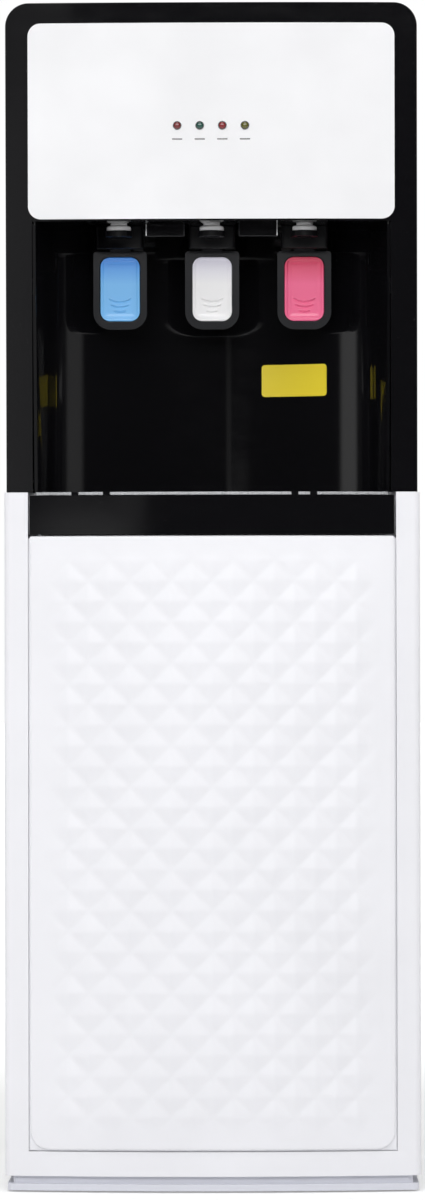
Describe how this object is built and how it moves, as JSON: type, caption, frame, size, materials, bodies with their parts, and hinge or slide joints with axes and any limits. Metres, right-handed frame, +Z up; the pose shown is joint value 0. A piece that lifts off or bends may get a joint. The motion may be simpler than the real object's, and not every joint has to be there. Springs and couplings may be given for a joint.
{
  "type": "bottom load water cooler",
  "caption": "Tall floor-standing water cooler with push paddles over a drip tray in an open alcove, and an embossed door below that hides the bottle bay.",
  "frame": {"origin": "on the floor, under the middle of the cooler's bounding box", "axes": "+Z up, front towards -Y, +X to the right as seen from the front"},
  "size_m": [0.356, 0.365, 1.016],
  "materials": {
    "white_plastic": "satin moulded white plastic",
    "white_steel": "white powder-coated steel",
    "back_steel": "black powder-coated steel",
    "bay_plastic": "plain moulded white plastic",
    "zinc_steel": "zinc-plated steel",
    "grille_steel": "brushed stainless steel",
    "tank_steel": "stainless steel",
    "rubber": "black rubber",
    "gloss_black": "high-gloss black plastic",
    "gloss_white": "high-gloss white plastic",
    "black_steel": "gloss black painted steel",
    "tap_black": "black moulded plastic",
    "nozzle": "milky translucent plastic",
    "paddle_grey": "dark grey satin plastic",
    "pad_blue": "blue plastic",
    "pad_white": "white plastic",
    "pad_red": "pinkish red plastic",
    "lamp_dark_red": "clear tinted lens",
    "lamp_green": "clear tinted lens",
    "lamp_red": "clear tinted lens",
    "lamp_yellow": "clear tinted lens",
    "circuit_board": "green circuit board",
    "compressor_black": "black enamelled steel",
    "copper": "bare copper tube",
    "hose": "food-grade silicone hose",
    "switch_red": "red rocker",
    "switch_green": "green rocker",
    "condenser_black": "black painted steel tube and wire"
  },
  "bodies": {
    "cabinet": {"base_plinth": "white_plastic", "foot_front_left": "rubber", "foot_front_right": "rubber", "foot_rear_left": "rubber", "foot_rear_right": "rubber", "front_frame": "white_plastic", "side_panel_left": "white_steel", "side_panel_right": "white_steel", "lower_back_panel": "back_steel", "bay_floor": "bay_plastic", "mid_deck": "white_steel", "hinge_bottom": "zinc_steel", "hinge_top": "zinc_steel", "door_magnet": "rubber", "head_front": "gloss_black", "front_panel": "gloss_white", "indicator_no_water": "lamp_dark_red", "indicator_cold": "lamp_green", "indicator_hot": "lamp_red", "indicator_power": "lamp_yellow", "indicator_board": "circuit_board", "head_wrap": "black_steel", "alcove_liner": "gloss_black", "tap_cold": "tap_black", "tap_room": "tap_black", "tap_hot": "tap_black", "nozzle_cold": "nozzle", "nozzle_room": "nozzle", "nozzle_hot": "nozzle", "compressor": "compressor_black", "hot_tank": "tank_steel", "heater_band": "black_steel", "tank_shelf": "zinc_steel", "cold_tank": "tank_steel", "evaporator_coil": "copper", "pump": "tap_black", "suction_probe": "bay_plastic", "probe_holder": "bay_plastic", "suction_hose": "hose", "control_box": "tap_black", "upper_back_panel": "back_steel", "cord_gland": "rubber", "condenser": "condenser_black"},
    "door": {"door_skin": "white_plastic", "door_liner": "bay_plastic", "strike_plate": "zinc_steel"},
    "tray": {"drip_tray": "gloss_black"},
    "grille": {"drip_grille": "grille_steel"},
    "cold_paddle": {"paddle_cold": "paddle_grey", "paddle_pad_cold": "pad_blue"},
    "room_paddle": {"paddle_room": "paddle_grey", "paddle_pad_room": "pad_white"},
    "hot_paddle": {"paddle_hot": "paddle_grey", "paddle_pad_hot": "pad_red"},
    "cold_plunger": {"plunger_cold": "nozzle"},
    "room_plunger": {"plunger_room": "nozzle"},
    "hot_plunger": {"plunger_hot": "nozzle"},
    "hot_switch": {"switch_hot": "switch_red"},
    "cold_switch": {"switch_cold": "switch_green"},
    "drain": {"drain_plug": "tap_black"}
  },
  "joints": [
    {"name": "door_hinge", "type": "hinge", "parent": "cabinet", "child": "door", "pos_m": [-0.1473, -0.16372, 0.3], "axis": [0, 0, -1], "range_deg": [0, 110]},
    {"name": "tray_slide", "type": "slide", "parent": "cabinet", "child": "tray", "axis": [0, -1, 0], "range_m": [0, 0.105]},
    {"name": "grille_lift", "type": "slide", "parent": "tray", "child": "grille", "axis": [0, 0, 1], "range_m": [0, 0.06]},
    {"name": "cold_paddle_press", "type": "hinge", "parent": "cabinet", "child": "cold_paddle", "pos_m": [-0.08, -0.0975, 0.817], "axis": [1, 0, 0], "range_deg": [0, 12], "stiffness_Nm_per_rad": 0.6, "springref_deg": -5.73},
    {"name": "room_paddle_press", "type": "hinge", "parent": "cabinet", "child": "room_paddle", "pos_m": [0, -0.0975, 0.817], "axis": [1, 0, 0], "range_deg": [0, 12], "stiffness_Nm_per_rad": 0.6, "springref_deg": -5.73},
    {"name": "hot_paddle_press", "type": "hinge", "parent": "cabinet", "child": "hot_paddle", "pos_m": [0.08, -0.0975, 0.817], "axis": [1, 0, 0], "range_deg": [0, 12], "stiffness_Nm_per_rad": 0.6, "springref_deg": -5.73},
    {"name": "cold_plunger_slide", "type": "slide", "parent": "cabinet", "child": "cold_plunger", "axis": [0, 1, 0], "range_m": [0, 0.0028]},
    {"name": "room_plunger_slide", "type": "slide", "parent": "cabinet", "child": "room_plunger", "axis": [0, 1, 0], "range_m": [0, 0.0028]},
    {"name": "hot_plunger_slide", "type": "slide", "parent": "cabinet", "child": "hot_plunger", "axis": [0, 1, 0], "range_m": [0, 0.0028]},
    {"name": "hot_switch_rock", "type": "hinge", "parent": "cabinet", "child": "hot_switch", "pos_m": [-0.024, 0.16, 0.905], "axis": [-1, 0, 0], "range_deg": [0, 16]},
    {"name": "cold_switch_rock", "type": "hinge", "parent": "cabinet", "child": "cold_switch", "pos_m": [0.024, 0.16, 0.905], "axis": [-1, 0, 0], "range_deg": [0, 16]},
    {"name": "drain_plug_pull", "type": "slide", "parent": "cabinet", "child": "drain", "axis": [0, 1, 0], "range_m": [0, 0.03]}
  ],
  "couplings": [
    {"joint": "cold_plunger_slide", "follows": "cold_paddle_press", "m_per_rad": 0.01289},
    {"joint": "room_plunger_slide", "follows": "room_paddle_press", "m_per_rad": 0.01289},
    {"joint": "hot_plunger_slide", "follows": "hot_paddle_press", "m_per_rad": 0.01289}
  ]
}
